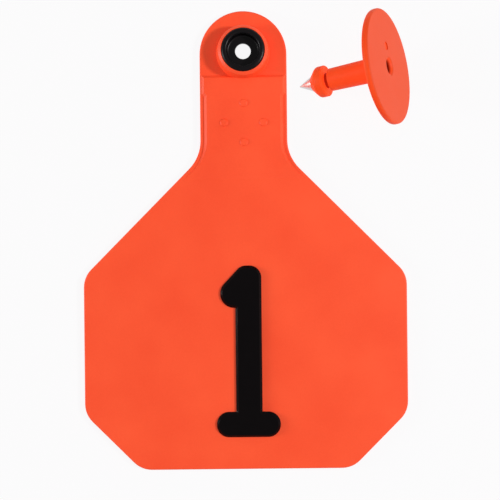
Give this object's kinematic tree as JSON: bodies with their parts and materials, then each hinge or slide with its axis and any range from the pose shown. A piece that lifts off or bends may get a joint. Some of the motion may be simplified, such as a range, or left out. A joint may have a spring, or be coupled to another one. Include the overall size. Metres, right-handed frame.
{
  "type": "livestock ear tag",
  "caption": "Two-piece livestock ear tag: flat numbered panel with a hard insert in its head, and a male button with a metal-tipped stem lying beside it.",
  "frame": {"origin": "axis of the tag's hole, in the plane of the tag's back face", "axes": "+Z out of the tag's front, +Y from the panel towards the head, +X to the right seen from the front"},
  "size_m": [0.0773, 0.108, 0.0228],
  "materials": {
    "orange_soft_plastic": "satin",
    "black_hard_plastic": "gloss",
    "black_ink": "gloss",
    "tip_metal": "satin"
  },
  "bodies": {
    "root": {"tag_panel": "orange_soft_plastic", "hole_insert": "black_hard_plastic", "number_ink": "black_ink", "male_button": "orange_soft_plastic", "button_tip": "tip_metal"}
  },
  "joints": []
}
